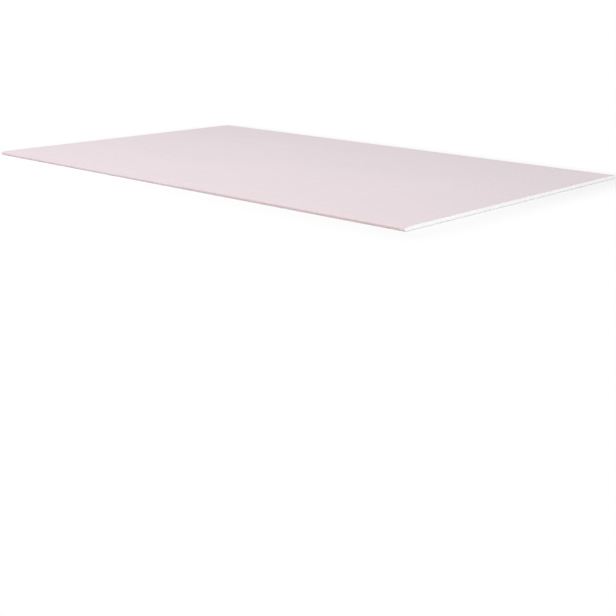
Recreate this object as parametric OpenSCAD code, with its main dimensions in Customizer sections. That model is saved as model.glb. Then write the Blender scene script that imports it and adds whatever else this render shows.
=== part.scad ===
// Fire-resistant drywall sheet, lying on its back with the pink face up.
// A gypsum core sits in a jacket of two papers. The face paper wraps round both long edges and
// returns under the back, where the back paper laps over it. The two ends are sawn square and bare.
// X runs along the length, Y across the width, and Z up from the surface that the sheet lies on.

/* [Sheet] */
// Length between the two sawn ends
sheet_l = 2000; // [600:10:3600]
// Width over the two long edges
sheet_w = 1250; // [400:10:1300]
// Thickness over both papers
sheet_t = 12.5; // [9.5:0.5:25]

/* [Long edges] */
// Width of the band that slopes down to each long edge
taper_w = 50; // [30:1:80]
// Depth that the sloping band has reached at the top of the rounded nose
taper_drop = 1.3; // [0.6:0.1:2.5]

/* [Papers] */
// Thickness of the face paper
face_paper_t = 0.4; // [0.2:0.05:0.8]
// Thickness of the back paper
back_paper_t = 0.4; // [0.2:0.05:0.8]
// Width of the back paper's lap over each return of the face paper
lap_w = 22; // [10:1:40]
// Width of the flat strip of each return that the back paper leaves bare beside the nose
bare_strip_w = 3; // [1:0.5:10]

/* [Hidden] */
$fn = 96;

// Each long edge ends in a half-round nose between the back and the foot of the sloping band
nose_r = (sheet_t - back_paper_t - taper_drop) / 2;
nose_y = sheet_w / 2 - nose_r;
nose_z = back_paper_t + nose_r;

// The back paper stops short of the noses, and the face paper's returns end under it
back_half_w = nose_y - bare_strip_w;
return_end_y = back_half_w - lap_w;

// Cross-section inside the surface that lies at a given depth under the face paper's outside
module jacket_section(depth) {
    nose_foot = [nose_y, back_paper_t + depth];
    nose_top = [nose_y, sheet_t - taper_drop - depth];
    shoulder = [sheet_w / 2 - taper_w, sheet_t - depth];
    right = [nose_foot, nose_top, shoulder];
    left = [for (i = [len(right) - 1 : -1 : 0]) [-right[i].x, right[i].y]];
    polygon(concat(right, left));
    for (side = [-1, 1])
        translate([side * nose_y, nose_z])
            circle(r = nose_r - depth);
}

// Cross-section of the space between the two returns, from a given height up into the core
module between_returns(low_z) {
    translate([-return_end_y, low_z])
        square([2 * return_end_y, nose_z - low_z]);
}

// Runs a cross-section along the whole sheet
module along_sheet() {
    rotate([90, 0, 90])
        linear_extrude(height = sheet_l, center = true)
            children();
}

// Gypsum that fills the jacket, stepped back over the returns
module gypsum_core() {
    color([0.95, 0.95, 0.94])
        along_sheet()
            union() {
                jacket_section(face_paper_t);
                between_returns(back_paper_t);
            }
}

// Pink paper over the face, round the noses and under the back as far as its returns reach
module face_paper() {
    color([0.90, 0.86, 0.87])
        along_sheet()
            difference() {
                jacket_section(0);
                jacket_section(face_paper_t);
                between_returns(0);
            }
}

// Paper on the back, which the sheet lies on
module back_paper() {
    color([0.84, 0.81, 0.78])
        along_sheet()
            translate([-back_half_w, 0])
                square([2 * back_half_w, back_paper_t]);
}

gypsum_core();
face_paper();
back_paper();
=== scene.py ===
"""Finishes a fire-resistant drywall sheet: its sawn gypsum core, its pink face paper and its back paper.

The frame gives every size. The sheet lies on its back, with X along its length, Y across it and Z up.
"""

import math
import random
from collections.abc import Callable
from dataclasses import dataclass

import bmesh
import bpy
from bpy.props import FloatProperty, FloatVectorProperty, IntProperty, PointerProperty
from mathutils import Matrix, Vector, noise


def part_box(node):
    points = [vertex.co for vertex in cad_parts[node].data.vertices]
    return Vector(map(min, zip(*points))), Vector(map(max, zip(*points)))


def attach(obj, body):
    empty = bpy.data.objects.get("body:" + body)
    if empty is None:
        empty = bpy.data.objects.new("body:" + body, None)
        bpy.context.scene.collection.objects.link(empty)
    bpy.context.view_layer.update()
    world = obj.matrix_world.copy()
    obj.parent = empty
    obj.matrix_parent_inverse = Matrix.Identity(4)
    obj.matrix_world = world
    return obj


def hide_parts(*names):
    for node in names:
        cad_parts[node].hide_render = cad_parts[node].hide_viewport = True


bl_info = {
    "name": "Drywall Sheet",
    "version": (1, 0, 0),
    "blender": (4, 5, 0),
    "location": "3D View > Sidebar > Drywall",
    "description": "Builds the core and the papers of a drywall sheet, and a plain studio round it",
    "category": "Object",
}

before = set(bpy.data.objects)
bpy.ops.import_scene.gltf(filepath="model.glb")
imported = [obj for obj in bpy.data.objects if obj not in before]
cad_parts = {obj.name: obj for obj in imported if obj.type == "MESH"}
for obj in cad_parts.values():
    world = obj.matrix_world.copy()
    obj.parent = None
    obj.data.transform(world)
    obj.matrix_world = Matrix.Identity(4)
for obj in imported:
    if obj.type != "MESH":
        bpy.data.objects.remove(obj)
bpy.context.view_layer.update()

MM = 0.001
# Two points of the frame closer than this lie on one line
SAME = 0.01 * MM
# Edges that fold more than this are drawn sharp
SHARP_ANGLE = math.radians(30)
# A face looks along an axis if its normal has more than this of it
FACING = 0.7
WHITE = (1.0, 1.0, 1.0, 1.0)


@dataclass(frozen=True)
class Section:
    """The sheet's cross-section in metres: heights above the floor, and reaches from the middle line."""

    half_length: float
    bottom: float
    foot: float
    top: float
    face_paper: float
    back_paper: float
    back_reach: float
    return_reach: float
    shoulder_reach: float
    nose_reach: float
    nose_height: float
    nose_radius: float

    @property
    def core_radius(self):
        """Radius of the core's nose, under the paper."""
        return self.nose_radius - self.face_paper

    @property
    def taper_drop(self):
        """How far the sloping band falls from the face to the crown of the nose."""
        return self.top - self.nose_height - self.nose_radius


def measure_section():
    """Reads the cross-section off the frame's solids."""
    face_low, face_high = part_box("face_paper")
    core_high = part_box("gypsum_core")[1]
    back_low, back_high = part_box("back_paper")
    points = [(point.co.z, abs(point.co.y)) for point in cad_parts["face_paper"].data.vertices]
    reaches_on_top = [reach for height, reach in points if face_high.z - height < SAME]
    reaches_at_foot = [reach for height, reach in points if height - face_low.z < SAME]
    nose_reach = max(reaches_at_foot)
    crown = max(height for height, reach in points if abs(reach - nose_reach) < SAME)
    return Section(
        half_length=face_high.x,
        bottom=back_low.z,
        foot=face_low.z,
        top=face_high.z,
        face_paper=face_high.z - core_high.z,
        back_paper=back_high.z - back_low.z,
        back_reach=back_high.y,
        return_reach=min(reaches_at_foot),
        shoulder_reach=max(reaches_on_top),
        nose_reach=nose_reach,
        nose_height=(crown + face_low.z) / 2,
        nose_radius=(crown - face_low.z) / 2,
    )


SHEET = measure_section()


class CoreSettings(bpy.types.PropertyGroup):
    """Looks of the gypsum at the sawn ends"""

    colour: FloatVectorProperty(
        name="Gypsum", description="Colour of the sawn gypsum",
        subtype="COLOR", min=0, max=1, default=(0.9, 0.9, 0.893),
    )
    cell: FloatProperty(
        name="Cell", description="Width of a cell of the mesh on a sawn end",
        unit="LENGTH", min=0.5 * MM, default=0.8 * MM,
    )
    saw_depth: FloatProperty(
        name="Saw marks", description="Depth of the marks that the saw leaves",
        unit="LENGTH", min=0, default=0.2 * MM,
    )
    rim_depth: FloatProperty(
        name="Worn rim", description="Depth to which the gypsum has crumbled beside the papers",
        unit="LENGTH", min=0, default=0.3 * MM,
    )
    chips: IntProperty(
        name="Chips", description="Chips broken out of each sawn end", min=0, default=520,
    )
    chip_depth: FloatProperty(
        name="Chip depth", description="Depth of the deepest chip",
        unit="LENGTH", min=0, default=0.6 * MM,
    )


class FacePaperSettings(bpy.types.PropertyGroup):
    """Looks of the pink paper on the face and round the long edges"""

    colour: FloatVectorProperty(
        name="Face", description="Colour of the paper on the flat face",
        subtype="COLOR", min=0, max=1, default=(0.76, 0.665, 0.697),
    )
    # The long edge's colour is a deeper copy of the face's colour: painted shade on the long edges
    shaded_edge_colour: FloatVectorProperty(
        name="Long edge", description="Colour of the paper where it is drawn round a long edge",
        subtype="COLOR", min=0, max=1, default=(0.755, 0.63, 0.652),
    )
    ink_colour: FloatVectorProperty(
        name="Ink", description="Colour of the measuring ticks on the front long edge",
        subtype="COLOR", min=0, max=1, default=(0.33, 0.06, 0.085),
    )
    tick_start: FloatProperty(
        name="First tick", description="Place along the sheet where the measuring ticks begin",
        unit="LENGTH", default=75 * MM,
    )
    tick_end: FloatProperty(
        name="Last tick", description="Place along the sheet where the measuring ticks stop",
        unit="LENGTH", default=985 * MM,
    )
    tick_step: FloatProperty(
        name="Tick step", description="Distance from one measuring tick to the next",
        unit="LENGTH", min=2 * MM, default=5 * MM,
    )
    tick_width: FloatProperty(
        name="Tick width", description="Width of a measuring tick's line",
        unit="LENGTH", min=0, default=1.2 * MM,
    )
    tick_height: FloatProperty(
        name="Tick height", description="Height of a short measuring tick",
        unit="LENGTH", min=0, default=3 * MM,
    )
    mesh_step: FloatProperty(
        name="Mesh step", description="Width of a strip of the paper's mesh",
        unit="LENGTH", min=0.5 * MM, default=2.5 * MM,
    )
    fray: FloatProperty(
        name="Fray", description="Most that the saw has worn back the paper at the sheet's ends",
        unit="LENGTH", min=0, default=0.25 * MM,
    )


class BackPaperSettings(bpy.types.PropertyGroup):
    """Looks of the paper on the back"""

    colour: FloatVectorProperty(
        name="Back", description="Colour of the paper on the back",
        subtype="COLOR", min=0, max=1, default=(0.47, 0.425, 0.375),
    )
    mesh_step: FloatProperty(
        name="Mesh step", description="Width of a strip of the paper's mesh",
        unit="LENGTH", min=0.5 * MM, default=4 * MM,
    )
    waver: FloatProperty(
        name="Waver", description="Most that the paper's long edges stray from a straight line",
        unit="LENGTH", min=0, default=0.4 * MM,
    )
    fray: FloatProperty(
        name="Fray", description="Most that the saw has worn back the paper at the sheet's ends",
        unit="LENGTH", min=0, default=0.3 * MM,
    )


class StageSettings(bpy.types.PropertyGroup):
    """The studio: floor, light and camera"""

    floor_colour: FloatVectorProperty(
        name="Floor", description="Colour of the floor",
        subtype="COLOR", min=0, max=1, default=(0.93, 0.93, 0.93),
    )
    sky_level: FloatProperty(
        name="Sky", description="Brightness of the even light from all round", min=0, default=0.45,
    )
    key_power: FloatProperty(
        name="Key lamp", description="Power of the broad lamp over the front long edge",
        unit="POWER", min=0, default=127,
    )
    key_place: FloatVectorProperty(
        name="Key place", description="Where the key lamp hangs",
        subtype="TRANSLATION", default=(-0.8, -2.0, 3.8),
    )
    fill_power: FloatProperty(
        name="Fill lamp", description="Power of the broad lamp that faces the near sawn end",
        unit="POWER", min=0, default=172,
    )
    fill_place: FloatVectorProperty(
        name="Fill place", description="Where the fill lamp hangs",
        subtype="TRANSLATION", default=(6.0, -1.5, 1.0),
    )
    camera_place: FloatVectorProperty(
        name="Camera place", description="Where the camera stands",
        subtype="TRANSLATION", default=(2.772, -2.998, 0.652),
    )
    camera_turn: FloatVectorProperty(
        name="Camera turn", description="Which way the camera looks",
        subtype="EULER", default=(math.radians(73.458), math.radians(-0.593), math.radians(42.099)),
    )
    lens: FloatProperty(
        name="Lens", description="Focal length in millimetres, for a sensor 36 mm wide",
        min=1, default=63.3,
    )


class Value:
    """One output of a material's node, so that a pattern can be written as an expression."""

    def __init__(self, finish, socket):
        self.finish = finish
        self.socket = socket

    def math(self, operation, first, second=0.0):
        """Works out one step of an expression in a Math node."""
        return self.finish.node("ShaderNodeMath", {"operation": operation}, {0: first, 1: second})

    def __add__(self, other):
        return self.math("ADD", self, other)

    def __sub__(self, other):
        return self.math("SUBTRACT", self, other)

    def __rsub__(self, other):
        return self.math("SUBTRACT", other, self)

    def __mul__(self, other):
        return self.math("MULTIPLY", self, other)

    def __truediv__(self, other):
        return self.math("DIVIDE", self, other)

    def __pow__(self, other):
        return self.math("POWER", self, other)

    def __abs__(self):
        return self.math("ABSOLUTE", self)

    def __lt__(self, other):
        return self.math("LESS_THAN", self, other)

    def __gt__(self, other):
        return self.math("GREATER_THAN", self, other)

    __radd__ = __add__
    __rmul__ = __mul__

    def larger(self, other):
        """The larger of two values."""
        return self.math("MAXIMUM", self, other)

    def since_last(self, step):
        """Distance past the last whole step."""
        return self.math("FRACT", self / step) * step

    def swing(self, share):
        """Turns a pattern from 0 to 1 into a change of a given share, half of it down and half up."""
        return (self - 0.5) * share

    def rise(self, low, high):
        """Eases from 0 at low to 1 at high."""
        return self.finish.node(
            "ShaderNodeMapRange", {"interpolation_type": "SMOOTHSTEP"},
            {"Value": self, "From Min": low, "From Max": high},
        )


class Finish:
    """One material, or the sky, built from nodes."""

    # A Mix node has sockets for each kind of data. These are the share's and the colours'
    MIX_SHARE, MIX_FIRST, MIX_SECOND, MIX_RESULT = 0, 6, 7, 2
    # Where a bubble's rim starts to rise, as a share of its radius
    BUBBLE_RIM = 0.7

    def __init__(self, tree):
        self.tree = tree
        self.tree.nodes.clear()

    def node(self, kind, settings, inputs, output=0):
        """Adds a node, sets it, feeds its sockets with numbers, colours or values, and gives one output."""
        made = self.tree.nodes.new(kind)
        for name, setting in settings.items():
            setattr(made, name, setting)
        for socket, source in inputs.items():
            if isinstance(source, Value):
                self.tree.links.new(source.socket, made.inputs[socket])
            else:
                made.inputs[socket].default_value = source
        return Value(self, made.outputs[output]) if made.outputs else None

    def place(self):
        """Where a point lies, in metres."""
        return self.node("ShaderNodeTexCoord", {}, {}, "Object")

    def parts(self, vector):
        """Splits a place into its three numbers."""
        split = self.node("ShaderNodeSeparateXYZ", {}, {0: vector})
        return [Value(self, socket) for socket in split.socket.node.outputs]

    def drawn_out(self, vector, x=1.0, z=1.0):
        """Squeezes a place along the sheet or upwards, so that a pattern on it is drawn out that way."""
        return self.node("ShaderNodeVectorMath", {"operation": "MULTIPLY"}, {0: vector, 1: (x, 1.0, z)})

    def clouds(self, vector, size, detail):
        """Soft noise from 0 to 1, with features of about a given size and a number of finer octaves."""
        inputs = {"Vector": vector, "Scale": 1 / size, "Detail": detail}
        return self.node("ShaderNodeTexNoise", {}, inputs, "Fac")

    def strands(self, vector, size, width):
        """1 on thin winding strands that bend about every size, and 0 between them."""
        return 1 - abs(self.clouds(vector, size, detail=1.0) - 0.5).rise(0.0, width / size)

    def bubbles(self, vector, spacing, radius):
        """1 inside round bubbles of a given radius, strewn about a spacing apart, and 0 between them."""
        inputs = {"Vector": vector, "Scale": 1 / spacing}
        from_middle = self.node("ShaderNodeTexVoronoi", {}, inputs) * spacing
        return 1 - from_middle.rise(self.BUBBLE_RIM * radius, radius)

    def mixed(self, share, first, second, blend="MIX"):
        """Mixes two colours."""
        return self.node(
            "ShaderNodeMix", {"data_type": "RGBA", "blend_type": blend},
            {self.MIX_SHARE: share, self.MIX_FIRST: first, self.MIX_SECOND: second}, self.MIX_RESULT,
        )

    def shaded(self, colour, tone):
        """A colour made lighter or darker by a tone round 1."""
        return self.mixed(1.0, colour, tone, "MULTIPLY")

    def bump(self, height, depth):
        """Surface direction on a relief whose height runs from 0 to 1."""
        return self.node("ShaderNodeBump", {}, {"Strength": 1.0, "Distance": depth, "Height": height})

    def seen_directly(self):
        """1 where the camera, a mirror or a glass looks, and 0 for the light that falls on a surface."""
        path = self.node("ShaderNodeLightPath", {}, {}).socket.node
        rays = ("Is Camera Ray", "Is Glossy Ray", "Is Transmission Ray")
        camera, glossy, through = (Value(self, path.outputs[ray]) for ray in rays)
        return 1 - (1 - camera) * (1 - glossy) * (1 - through)

    def surface(self, inputs):
        """Ends a material in the shader that the inputs set."""
        shader = self.node("ShaderNodeBsdfPrincipled", {}, inputs)
        self.node("ShaderNodeOutputMaterial", {}, {"Surface": shader})


def new_material(name):
    """Makes an empty material."""
    material = bpy.data.materials.new(name)
    material.use_nodes = True
    return material


def rgba(colour):
    """A colour with its alpha."""
    return (*colour, 1.0)


def gypsum_material(look):
    """Chalky gypsum with open air bubbles, darkened by painted shade, and saw scratches."""
    material = new_material("sawn_gypsum")
    gypsum = Finish(material.node_tree)
    place = gypsum.place()

    patches = gypsum.clouds(place, size=9 * MM, detail=4.0)
    grain = gypsum.clouds(place, size=0.5 * MM, detail=3.0)
    scratches = gypsum.clouds(gypsum.drawn_out(place, z=0.12), size=0.8 * MM, detail=2.0)
    large_pits = gypsum.bubbles(place, spacing=1.9 * MM, radius=0.5 * MM)
    small_pits = gypsum.bubbles(place, spacing=0.8 * MM, radius=0.22 * MM)
    pits = large_pits.larger(small_pits * 0.8)

    # Taking pits * 0.12 off the tone darkens the bubbles: painted shade in the hollows
    tone = 1 + patches.swing(0.08) + grain.swing(0.08) + scratches.swing(0.06) - pits * 0.12
    gypsum.surface({
        "Base Color": gypsum.shaded(rgba(look.colour), tone),
        "Roughness": 0.86 + grain.swing(0.2),
        "Normal": gypsum.bump(grain * 0.3 + scratches * 0.4 - pits * 0.6, depth=0.15 * MM),
    })
    return material


# The measuring ticks: how many steps apart those of one height stand, and that height in short ticks
TICK_HEIGHTS = ((1, 1.0), (2, 1.7), (10, 2.6))


def edge_ticks(along, across, up, look):
    """A plain row of measuring ticks on the front long edge, in three heights."""
    from_start = along - look.tick_start
    off_middle = abs(up - SHEET.nose_height)
    drawn = 0.0
    for steps, height in TICK_HEIGHTS:
        in_line = from_start.since_last(steps * look.tick_step) < look.tick_width
        drawn = (in_line * (off_middle < height * look.tick_height / 2)).larger(drawn)
    return drawn * (along > look.tick_start) * (along < look.tick_end) * (across < -SHEET.nose_reach)


# Where the face's colour starts to turn into the long edge's deeper colour, which is painted shade, and
# where it has turned
EDGE_SHADE_BLEND = (SHEET.nose_reach - 10 * MM, SHEET.nose_reach + 5 * MM)
# Gypsum dust by the saw cuts: its colour, how far it reaches and how well it covers the paper
DUST_COLOUR = (0.86, 0.85, 0.84, 1.0)
DUST_REACH = 7 * MM
DUST_COVER = 0.3
# How well the ink covers the paper, and how much less it covers a fibre
INK_COVER = 0.95
INK_WEAR = 0.5


def face_paper_material(look):
    """Smooth pink paper: cloudy, streaked lengthwise, dusty at the saw cuts, darker round the long edges by
    painted shade, with ticks on one edge.
    """
    material = new_material("pink_face_paper")
    paper = Finish(material.node_tree)
    place = paper.place()
    along, across, up = paper.parts(place)

    clouds = paper.clouds(place, size=22 * MM, detail=4.0)
    drift = paper.clouds(place, size=420 * MM, detail=2.0)
    streaks = paper.clouds(paper.drawn_out(place, x=0.02), size=16 * MM, detail=3.0)
    fibres = paper.clouds(paper.drawn_out(place, x=0.3), size=1.2 * MM, detail=3.0)
    flecks = paper.clouds(paper.drawn_out(place, x=0.5), size=2.4 * MM, detail=1.0).rise(0.7, 0.76)
    dark_strands = paper.strands(paper.drawn_out(place, x=0.4), size=4 * MM, width=0.16 * MM)
    pale_strands = paper.strands(paper.drawn_out(place, x=0.6), size=3 * MM, width=0.2 * MM)

    # The paper turns to the deeper edge colour round the long edges: painted shade, not a change in the
    # paper itself
    edge_shade = abs(across).rise(*EDGE_SHADE_BLEND)
    colour = paper.mixed(edge_shade, rgba(look.colour), rgba(look.shaded_edge_colour))
    tone = 1 + clouds.swing(0.07) + streaks.swing(0.06) + drift.swing(0.05)
    tone = tone + fibres.swing(0.08) - flecks * 0.07
    tone = tone + pale_strands * clouds * 0.05 - dark_strands * (1 - clouds) * 0.06
    colour = paper.shaded(colour, tone)

    from_cut = SHEET.half_length - abs(along)
    dust = (1 - from_cut.rise(0.0, DUST_REACH)) * clouds.rise(0.35, 0.7) * DUST_COVER
    colour = paper.mixed(dust, colour, DUST_COLOUR)

    ink = edge_ticks(along, across, up, look) * (INK_COVER - INK_WEAR * fibres)
    colour = paper.mixed(ink, colour, rgba(look.ink_colour))
    paper.surface({
        "Base Color": colour,
        "Roughness": 0.62 + clouds.swing(0.16) + dust * 0.3,
        "Normal": paper.bump(clouds * 0.35 + fibres * 0.65, depth=0.03 * MM),
    })
    return material


def back_paper_material(look):
    """Plain grey-buff paper with the flecks of old fibres."""
    material = new_material("buff_back_paper")
    paper = Finish(material.node_tree)
    place = paper.place()

    clouds = paper.clouds(place, size=14 * MM, detail=5.0)
    drift = paper.clouds(place, size=300 * MM, detail=2.0)
    streaks = paper.clouds(paper.drawn_out(place, x=0.02), size=20 * MM, detail=3.0)
    fibres = paper.clouds(paper.drawn_out(place, x=0.3), size=1.2 * MM, detail=3.0)
    dark_flecks = fibres.rise(0.64, 0.72)
    pale_flecks = 1 - fibres.rise(0.3, 0.37)
    strands = paper.strands(paper.drawn_out(place, x=0.5), size=4 * MM, width=0.2 * MM)

    tone = 1 + clouds.swing(0.16) + streaks.swing(0.1) + drift.swing(0.1)
    tone = tone - dark_flecks * 0.22 + pale_flecks * 0.16 + strands * (clouds - 0.45) * 0.6
    paper.surface({
        "Base Color": paper.shaded(rgba(look.colour), tone),
        "Roughness": 0.8 + clouds.swing(0.15),
        "Normal": paper.bump(clouds * 0.4 + fibres * 0.6, depth=0.1 * MM),
    })
    return material


# How white the camera sees the floor right beside the sheet, and how far off it sees it all white
CONTACT_GLOW = 0.25
SHADOW_REACH = 160 * MM


def floor_material(look):
    """Pale floor that keeps the sheet's shadow beside it, and that the camera sees white further off."""
    material = new_material("studio_floor")
    floor = Finish(material.node_tree)
    along, across, _ = floor.parts(floor.place())
    past_end = (abs(along) - SHEET.half_length).larger(0.0)
    past_edge = (abs(across) - SHEET.nose_reach).larger(0.0)
    beyond = (past_end * past_end + past_edge * past_edge) ** 0.5
    glow = floor.seen_directly() * (CONTACT_GLOW + (1 - CONTACT_GLOW) * beyond.rise(0.0, SHADOW_REACH))
    matte = floor.node("ShaderNodeBsdfDiffuse", {}, {"Color": rgba(look.floor_colour)})
    white = floor.node("ShaderNodeEmission", {}, {"Color": WHITE, "Strength": 1.0})
    mixed = floor.node("ShaderNodeMixShader", {}, {0: glow, 1: matte, 2: white})
    floor.node("ShaderNodeOutputMaterial", {}, {"Surface": mixed})
    return material


def new_object(bm, name, material):
    """Turns a bmesh into an object of one material, with smooth faces and sharp folds."""
    bm.normal_update()
    for face in bm.faces:
        face.smooth = True
    for edge in bm.edges:
        edge.smooth = edge.calc_face_angle(0.0) < SHARP_ANGLE
    mesh = bpy.data.meshes.new(name)
    bm.to_mesh(mesh)
    bm.free()
    mesh.materials.append(material)
    made = bpy.data.objects.new(name, mesh)
    bpy.context.scene.collection.objects.link(made)
    return made


def fit_piece(piece, node):
    """Puts a piece in a node's place on the sheet."""
    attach(piece, "root")
    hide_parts(node)


def moved_verts(extruded):
    """The vertices that an extrude or a spin has made."""
    return [item for item in extruded if isinstance(item, bmesh.types.BMVert)]


def ripple(y, z, size, seed):
    """Noise from 0 to 1 over a plane, with features of a given size."""
    return 0.5 + 0.5 * noise.noise(Vector((y / size, z / size, seed)))


def face_upwards(bm):
    """Turns an open sheet of paper so that its outside is the side that the sky sees."""
    bmesh.ops.recalc_face_normals(bm, faces=bm.faces[:])
    highest = max(bm.faces, key=lambda face: face.calc_center_median().z)
    if highest.normal.z < 0:
        bmesh.ops.reverse_faces(bm, faces=bm.faces[:])
    bm.normal_update()


# Width of a bay that the saw has worn into the end of a paper
BAY_WIDTH = 4 * MM


def fray_ends(bm, fray, seed):
    """Wears back the paper at both sawn ends by an uneven amount."""
    for vert in bm.verts:
        if abs(abs(vert.co.x) - SHEET.half_length) < SAME:
            worn = fray * ripple(vert.co.y, vert.co.z, BAY_WIDTH, seed + vert.co.x)
            vert.co.x -= math.copysign(worn, vert.co.x)


# The flat map that a piece's finish is baked through: its name, and its width, margins and gaps in pixels
BAKE_MAP = "OFBake"
MAP_WIDTH = 1024
MAP_MARGIN = 10
MAP_GAP = 2


@dataclass(frozen=True)
class Band:
    """A band of a flat map: its height in pixels, how a point is laid along and up it, and its rows."""

    height: int
    flatten: Callable
    rows: int = 1


def lay_out(bm, bands, band_of):
    """Lays all faces of a piece out on its flat map, in bands one above the other."""
    bm.normal_update()
    layer = bm.loops.layers.uv.new(BAKE_MAP)
    feet = {}
    level = 0
    for name, band in bands.items():
        feet[name] = level
        level += band.height
    for face in bm.faces:
        name = band_of(face)
        band = bands[name]
        pitch = band.height / band.rows
        row = int(band.flatten(face.calc_center_median())[0] * band.rows)
        for loop in face.loops:
            along, up = band.flatten(loop.vert.co)
            right = MAP_MARGIN + (MAP_WIDTH - 2 * MAP_MARGIN) * (along * band.rows - row)
            high = feet[name] + pitch * row + MAP_GAP + (pitch - 2 * MAP_GAP) * up
            loop[layer].uv = (right / MAP_WIDTH, high / MAP_WIDTH)


def along_sheet(point):
    """How far along the sheet a point lies, from 0 to 1."""
    return 0.5 + point.x / (2 * SHEET.half_length)


def across_sheet(point):
    """How far across the sheet a point lies, from 0 to 1."""
    return 0.5 + point.y / (2 * (SHEET.nose_reach + SHEET.nose_radius))


def on_flat(point):
    """Place of a point on a broad side, along it and across it."""
    return along_sheet(point), across_sheet(point)


def on_turned_flat(point):
    """Place of a point on a broad side, across it and along it."""
    return across_sheet(point), along_sheet(point)


def on_sawn_end(point):
    """Place of a point on a sawn end, across it and up it."""
    return across_sheet(point), (point.z - SHEET.foot) / (SHEET.top - SHEET.foot)


def on_long_edge(point):
    """Place of a point on a long edge, along it and round it from the crown to the end of the return."""
    past = max(abs(point.y) - SHEET.nose_reach, 0.0)
    girth = SHEET.nose_radius * math.atan2(past, point.z - SHEET.nose_height)
    girth += max(SHEET.nose_reach - abs(point.y), 0.0)
    return along_sheet(point), girth / (SHEET.nose_radius * math.pi + SHEET.nose_reach - SHEET.return_reach)


def up_back_paper(point):
    """How high in the thickness of the back paper a point lies, from 0 to 1."""
    return (point.z - SHEET.bottom) / SHEET.back_paper


def on_back_end(point):
    """Place of a point on a sawn end of the back paper, across it and up it."""
    return across_sheet(point), up_back_paper(point)


def on_back_side(point):
    """Place of a point on a long edge of the back paper, along it and up it."""
    return along_sheet(point), up_back_paper(point)


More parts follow.
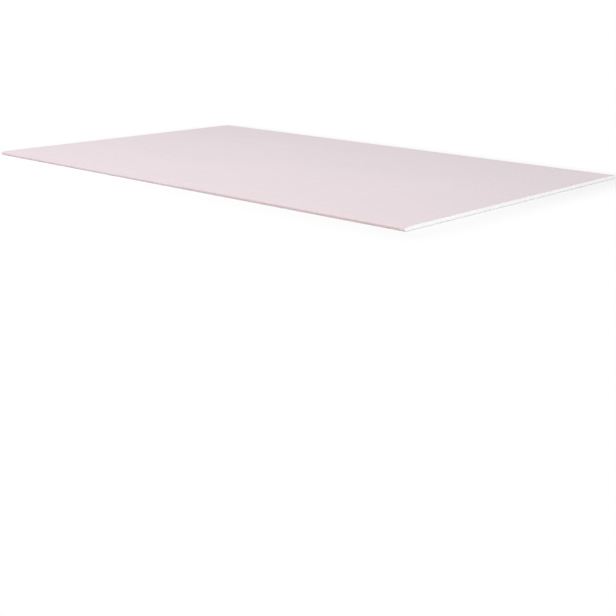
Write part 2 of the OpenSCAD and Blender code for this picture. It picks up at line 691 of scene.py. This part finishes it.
class DRYWALL_OT_gypsum_core(bpy.types.Operator):
    """Builds the gypsum core with its two sawn ends"""

    bl_idname = "drywall.gypsum_core"
    bl_label = "Gypsum Core"

    # Share of the columns of cells between the two noses, and the angle round a nose of its last column
    FLAT_SHARE = 0.96
    LAST_ANGLE = math.radians(85)
    # Most that a corner of a cell is pushed aside, as a share of the cell
    UNEVENNESS = 0.25
    # The saw's marks: their width, how far they lean, and how slowly they change from top to bottom
    MARK_WIDTH = 5 * MM
    MARK_LEAN = 0.15
    MARK_CHANGE = 0.1
    # The crumbled spots: their width, and a shift that sets their noise apart from the marks'
    SPOT_WIDTH = 2.5 * MM
    SPOT_SHIFT = 7
    # Shares of the saw marks' depth that lie all over, in the marks and in the crumbled spots
    EVEN_DEPTH, MARK_DEPTH, SPOT_DEPTH = 0.1, 0.5, 0.4
    # Rims left round the chips, from the widest chips to the narrowest, and the narrowest cell that chips
    CHIP_RIMS = (0.1, 0.2, 0.3, 0.4)
    LEAST_WIDTH = 0.5
    # Width of a chip's sloping wall, as a share of a cell, and how many times its outline is smoothed
    CHIP_WALL = 0.15
    ROUNDING = 3
    SEED = 12
    # Nearly all of the flat map goes to the two sawn ends, because the papers cover the rest
    BANDS = {
        "near end": Band(488, on_sawn_end, rows=7),
        "far end": Band(488, on_sawn_end, rows=7),
        "top": Band(24, on_turned_flat),
        "bottom": Band(24, on_turned_flat),
    }

    def column_reach(self, share):
        """Place across the sheet of a column, from -1 at one nose to 1 at the other."""
        flat = self.FLAT_SHARE
        if abs(share) <= flat:
            return SHEET.nose_reach * share / flat
        angle = self.LAST_ANGLE * (abs(share) - flat) / (1 - flat)
        return math.copysign(SHEET.nose_reach + SHEET.core_radius * math.sin(angle), share)

    def heights(self, y):
        """Lowest and highest gypsum at a distance from the middle line."""
        reach = abs(y)
        if reach > SHEET.nose_reach:
            half = math.sqrt(max(SHEET.core_radius**2 - (reach - SHEET.nose_reach) ** 2, 0.0))
            return SHEET.nose_height - half, SHEET.nose_height + half
        low = SHEET.foot if reach < SHEET.return_reach else SHEET.foot + SHEET.face_paper
        high = SHEET.top - SHEET.face_paper
        if reach > SHEET.shoulder_reach:
            slope = (reach - SHEET.shoulder_reach) / (SHEET.nose_reach - SHEET.shoulder_reach)
            high -= slope * SHEET.taper_drop
        return low, high

    def lay_cells(self, bm, look, draw):
        """Lays a net of uneven cells over one end of the core."""
        columns = round(2 * SHEET.nose_reach / self.FLAT_SHARE / look.cell)
        rows = round((SHEET.top - SHEET.foot) / look.cell)
        net = bmesh.ops.create_grid(bm, x_segments=columns, y_segments=rows, size=1.0)
        for vert in net["verts"]:
            share, level = vert.co.x, vert.co.y
            if not vert.is_boundary:
                share += self.UNEVENNESS * 2 / columns * draw.uniform(-1, 1)
                level += self.UNEVENNESS * 2 / rows * draw.uniform(-1, 1)
            y = self.column_reach(share)
            low, high = self.heights(y)
            vert.co = (-SHEET.half_length, y, low + (high - low) * (level + 1) / 2)

    def saw(self, bm, look):
        """Sinks the marks of the saw into both ends, and wears them down beside the papers."""
        for vert in bm.verts:
            x, y, z = vert.co
            low, high = self.heights(y)
            at_rim = min(z - low, high - z) < look.cell / 4
            mark = ripple(y + self.MARK_LEAN * z, z * self.MARK_CHANGE, self.MARK_WIDTH, x)
            spot = ripple(y, z, self.SPOT_WIDTH, x + self.SPOT_SHIFT)
            sunk = look.saw_depth * (self.EVEN_DEPTH + self.MARK_DEPTH * mark + self.SPOT_DEPTH * spot)
            if at_rim:
                sunk += look.rim_depth * spot
            vert.co.x -= math.copysign(sunk, x)

    def can_chip(self, corner, side, look):
        """Whether the cells round a corner are wide ones of one end, with other cells all round them."""
        edges = {edge for cell in corner.link_faces for edge in cell.edges}
        is_wide = min(edge.calc_length() for edge in edges) > self.LEAST_WIDTH * look.cell
        return is_wide and all(face.normal.x * side > FACING for edge in edges for face in edge.link_faces)

    def join_cells(self, bm, corners, count):
        """Joins the cells round some corners into patches that don't touch each other."""
        taken = set()
        joined = []
        for corner in corners:
            cells = list(corner.link_faces)
            if count and taken.isdisjoint(cells):
                joined.extend(cells)
                taken.update(face for cell in cells for edge in cell.edges for face in edge.link_faces)
                count -= 1
        return bmesh.ops.dissolve_faces(bm, faces=joined, use_verts=False)["region"]

    def chip(self, bm, look, draw):
        """Breaks chips of a few sizes out of both ends, away from the papers."""
        bm.normal_update()
        for side in (-1, 1):
            corners = [vert for vert in bm.verts if self.can_chip(vert, side, look)]
            draw.shuffle(corners)
            patches = self.join_cells(bm, corners, look.chips)
            for turn, rim in enumerate(self.CHIP_RIMS):
                chosen = patches[turn::len(self.CHIP_RIMS)]
                bmesh.ops.inset_individual(bm, faces=chosen, thickness=rim * look.cell)
                outlines = [vert for patch in chosen for vert in patch.verts]
                for _ in range(self.ROUNDING):
                    bmesh.ops.smooth_vert(
                        bm, verts=outlines, factor=0.5, use_axis_x=True, use_axis_y=True, use_axis_z=True,
                    )
                wall = self.CHIP_WALL * look.cell
                depth = look.chip_depth * (1 - rim / (2 * self.CHIP_RIMS[-1]))
                bmesh.ops.inset_individual(bm, faces=chosen, thickness=wall, depth=-depth)

    def band_of(self, face):
        """The band of the flat map that a face lies in."""
        x = face.calc_center_median().x
        if abs(x) > SHEET.half_length / 2:
            return "near end" if x > 0 else "far end"
        return "top" if face.normal.z > 0 else "bottom"

    def execute(self, context):
        look = context.scene.drywall_core
        draw = random.Random(self.SEED)
        bm = bmesh.new()
        self.lay_cells(bm, look, draw)
        far_end = moved_verts(bmesh.ops.extrude_face_region(bm, geom=bm.faces[:])["geom"])
        bmesh.ops.translate(bm, verts=far_end, vec=(2 * SHEET.half_length, 0.0, 0.0))
        bmesh.ops.recalc_face_normals(bm, faces=bm.faces[:])
        self.saw(bm, look)
        self.chip(bm, look, draw)
        lay_out(bm, self.BANDS, self.band_of)
        core = new_object(bm, "sawn_gypsum_core", gypsum_material(look))
        fit_piece(core, "gypsum_core")
        return {"FINISHED"}


class DRYWALL_OT_face_paper(bpy.types.Operator):
    """Builds the pink paper over the face, round the long edges and back under the sheet"""

    bl_idname = "drywall.face_paper"
    bl_label = "Face Paper"

    # An odd number of steps keeps the round nose a hair inside the sheet's width
    NOSE_STEPS = 17
    # Places along the sheet where the mesh is cut, as distances from a sawn end
    CUTS = (1 * MM, 20 * MM, 400 * MM, 800 * MM)
    FRAY_SEED = 3
    # The front edge lies in five rows on the flat map, which start at cuts, so that its ticks stay crisp
    BANDS = {
        "face": Band(652, on_flat),
        "front edge": Band(264, on_long_edge, rows=5),
        "rear edge": Band(24, on_long_edge),
        "inside": Band(60, on_flat),
        "near end": Band(12, on_sawn_end),
        "far end": Band(12, on_sawn_end),
    }

    def outline(self, bm, look):
        """Draws the paper's outline at one end: face, sloping bands, noses and returns."""
        x = -SHEET.half_length
        middle = bm.verts.new((x, 0.0, SHEET.top))
        shoulder = bm.verts.new((x, SHEET.shoulder_reach, SHEET.top))
        crown = bm.verts.new((x, SHEET.nose_reach, SHEET.nose_height + SHEET.nose_radius))
        straight = [bm.edges.new((middle, shoulder)), bm.edges.new((shoulder, crown))]
        turned = bmesh.ops.spin(
            bm, geom=[crown], cent=(x, SHEET.nose_reach, SHEET.nose_height), axis=(-1, 0, 0),
            angle=math.pi, steps=self.NOSE_STEPS, use_merge=False,
        )
        nose_foot = moved_verts(turned["geom_last"])[0]
        return_end = bm.verts.new((x, SHEET.return_reach, SHEET.foot))
        straight.append(bm.edges.new((nose_foot, return_end)))
        for edge in straight:
            cuts = round(edge.calc_length() / look.mesh_step) - 1
            bmesh.ops.subdivide_edges(bm, edges=[edge], cuts=cuts)
        bmesh.ops.mirror(bm, geom=bm.verts[:] + bm.edges[:], axis="Y", merge_dist=SAME)

    def run_along_sheet(self, bm):
        """Draws the outline out over the whole length of the sheet."""
        far_end = moved_verts(bmesh.ops.extrude_edge_only(bm, edges=bm.edges[:])["geom"])
        bmesh.ops.translate(bm, verts=far_end, vec=(2 * SHEET.half_length, 0.0, 0.0))
        for side in (-1, 1):
            for inset in self.CUTS:
                place = (side * (SHEET.half_length - inset), 0.0, 0.0)
                everything = bm.verts[:] + bm.edges[:] + bm.faces[:]
                bmesh.ops.bisect_plane(bm, geom=everything, plane_co=place, plane_no=(1.0, 0.0, 0.0))

    def band_of(self, face):
        """The band of the flat map that a face lies in."""
        centre, normal = face.calc_center_median(), face.normal
        if abs(normal.x) > FACING:
            return "near end" if centre.x > 0 else "far end"
        spine = max(-SHEET.nose_reach, min(centre.y, SHEET.nose_reach))
        if (centre.y - spine) * normal.y + (centre.z - SHEET.nose_height) * normal.z < 0:
            return "inside"
        if centre.z > SHEET.nose_height and spine == centre.y:
            return "face"
        return "front edge" if centre.y < 0 else "rear edge"

    def execute(self, context):
        look = context.scene.drywall_face
        bm = bmesh.new()
        self.outline(bm, look)
        self.run_along_sheet(bm)
        face_upwards(bm)
        fray_ends(bm, look.fray, self.FRAY_SEED)
        bmesh.ops.solidify(bm, geom=bm.faces[:], thickness=SHEET.face_paper)
        lay_out(bm, self.BANDS, self.band_of)
        paper = new_object(bm, "pink_face_paper", face_paper_material(look))
        fit_piece(paper, "face_paper")
        return {"FINISHED"}


class DRYWALL_OT_back_paper(bpy.types.Operator):
    """Builds the paper on the back, which laps over the returns of the face paper"""

    bl_idname = "drywall.back_paper"
    bl_label = "Back Paper"

    # Length of a strip of the mesh along the sheet, as a multiple of its width
    STRETCH = 10
    # Length of a wave in the paper's long edges
    WAVE_LENGTH = 60 * MM
    FRAY_SEED = 5
    # The side that shows has nearly all of the flat map
    BANDS = {
        "back": Band(944, on_flat),
        "inside": Band(48, on_flat),
        "near end": Band(8, on_back_end),
        "far end": Band(8, on_back_end),
        "front side": Band(8, on_back_side),
        "rear side": Band(8, on_back_side),
    }

    def lay_sheet(self, bm, look):
        """Lays a flat sheet of strips with wavering long edges."""
        columns = round(2 * SHEET.half_length / (self.STRETCH * look.mesh_step))
        rows = round(2 * SHEET.back_reach / look.mesh_step)
        net = bmesh.ops.create_grid(bm, x_segments=columns, y_segments=rows, size=1.0)
        for vert in net["verts"]:
            x, side = SHEET.half_length * vert.co.x, vert.co.y
            reach = SHEET.back_reach - look.waver * ripple(x, 0.0, self.WAVE_LENGTH, side) * abs(side)
            vert.co = (x, side * reach, SHEET.bottom + SHEET.back_paper)

    def band_of(self, face):
        """The band of the flat map that a face lies in."""
        normal = face.normal
        if abs(normal.z) > FACING:
            return "back" if normal.z < 0 else "inside"
        if abs(normal.x) > abs(normal.y):
            return "near end" if normal.x > 0 else "far end"
        return "rear side" if normal.y > 0 else "front side"

    def execute(self, context):
        look = context.scene.drywall_back
        bm = bmesh.new()
        self.lay_sheet(bm, look)
        face_upwards(bm)
        fray_ends(bm, look.fray, self.FRAY_SEED)
        bmesh.ops.solidify(bm, geom=bm.faces[:], thickness=SHEET.back_paper)
        lay_out(bm, self.BANDS, self.band_of)
        paper = new_object(bm, "buff_back_paper", back_paper_material(look))
        fit_piece(paper, "back_paper")
        return {"FINISHED"}


class DRYWALL_OT_stage(bpy.types.Operator):
    """Sets up the floor, the soft studio light and the camera"""

    bl_idname = "drywall.stage"
    bl_label = "Studio"

    # Half of the floor's width, and the width of a lamp, in metres
    FLOOR_HALF_SIZE = 150.0
    LAMP_SIZE = 4.0
    # Gap under the sheet, so that the floor and the back paper don't share a plane
    FLOOR_GAP = 0.2 * MM
    # Width of the camera's sensor in millimetres
    SENSOR_WIDTH = 36.0

    def lay_floor(self, look):
        """Lays the floor just under the sheet."""
        bm = bmesh.new()
        bmesh.ops.create_grid(bm, x_segments=1, y_segments=1, size=self.FLOOR_HALF_SIZE)
        bmesh.ops.translate(bm, verts=bm.verts[:], vec=(0.0, 0.0, SHEET.bottom - self.FLOOR_GAP))
        new_object(bm, "studio_floor", floor_material(look))

    def hang_lamp(self, scene, name, place, power):
        """Hangs a square lamp that looks at the middle of the sheet."""
        lamp = bpy.data.lights.new(name, "AREA")
        lamp.size = self.LAMP_SIZE
        lamp.energy = power
        hung = bpy.data.objects.new(name, lamp)
        hung.location = place
        hung.rotation_euler = hung.location.to_track_quat("Z", "Y").to_euler()
        scene.collection.objects.link(hung)

    def light_sky(self, scene, look):
        """Lights the scene evenly from all round, in front of a white background."""
        scene.world = bpy.data.worlds.new("studio_sky")
        scene.world.use_nodes = True
        sky = Finish(scene.world.node_tree)
        light = sky.node("ShaderNodeBackground", {}, {"Color": WHITE, "Strength": look.sky_level})
        white = sky.node("ShaderNodeBackground", {}, {"Color": WHITE, "Strength": 1.0})
        mixed = sky.node("ShaderNodeMixShader", {}, {0: sky.seen_directly(), 1: light, 2: white})
        sky.node("ShaderNodeOutputWorld", {}, {"Surface": mixed})

    def place_camera(self, scene, look):
        """Stands the camera before the near corner, a little above the sheet."""
        camera = bpy.data.cameras.new("studio_camera")
        camera.sensor_width = self.SENSOR_WIDTH
        camera.lens = look.lens
        camera.clip_end = 4 * self.FLOOR_HALF_SIZE
        stood = bpy.data.objects.new("studio_camera", camera)
        stood.location = look.camera_place
        stood.rotation_euler = look.camera_turn
        scene.collection.objects.link(stood)
        scene.camera = stood

    def execute(self, context):
        scene = context.scene
        look = scene.drywall_stage
        self.lay_floor(look)
        self.hang_lamp(scene, "key_lamp", look.key_place, look.key_power)
        self.hang_lamp(scene, "fill_lamp", look.fill_place, look.fill_power)
        self.light_sky(scene, look)
        self.place_camera(scene, look)
        scene.view_settings.view_transform = "Standard"
        return {"FINISHED"}


class DRYWALL_PT_panel(bpy.types.Panel):
    """Lists the pieces of the sheet and their settings"""

    bl_idname = "DRYWALL_PT_panel"
    bl_label = "Drywall Sheet"
    bl_space_type = "VIEW_3D"
    bl_region_type = "UI"
    bl_category = "Drywall"

    def draw(self, context):
        for operator, (name, settings) in zip(OPERATORS, SETTINGS.items()):
            box = self.layout.box()
            box.operator(operator.bl_idname)
            for field in settings.__annotations__:
                box.prop(getattr(context.scene, name), field)


SETTINGS = {
    "drywall_core": CoreSettings,
    "drywall_face": FacePaperSettings,
    "drywall_back": BackPaperSettings,
    "drywall_stage": StageSettings,
}
OPERATORS = (DRYWALL_OT_gypsum_core, DRYWALL_OT_face_paper, DRYWALL_OT_back_paper, DRYWALL_OT_stage)


def register():
    """Makes the settings, the operators and the panel known to Blender."""
    for name, settings in SETTINGS.items():
        bpy.utils.register_class(settings)
        setattr(bpy.types.Scene, name, PointerProperty(type=settings))
    for shown in (*OPERATORS, DRYWALL_PT_panel):
        bpy.utils.register_class(shown)


def unregister():
    """Takes them out again, in the opposite order."""
    for shown in reversed((*OPERATORS, DRYWALL_PT_panel)):
        bpy.utils.unregister_class(shown)
    for name, settings in reversed(SETTINGS.items()):
        delattr(bpy.types.Scene, name)
        bpy.utils.unregister_class(settings)


def main():
    """Builds the pieces and the studio."""
    register()
    bpy.ops.drywall.gypsum_core()
    bpy.ops.drywall.face_paper()
    bpy.ops.drywall.back_paper()
    bpy.ops.drywall.stage()


if __name__ == "__main__":
    main()
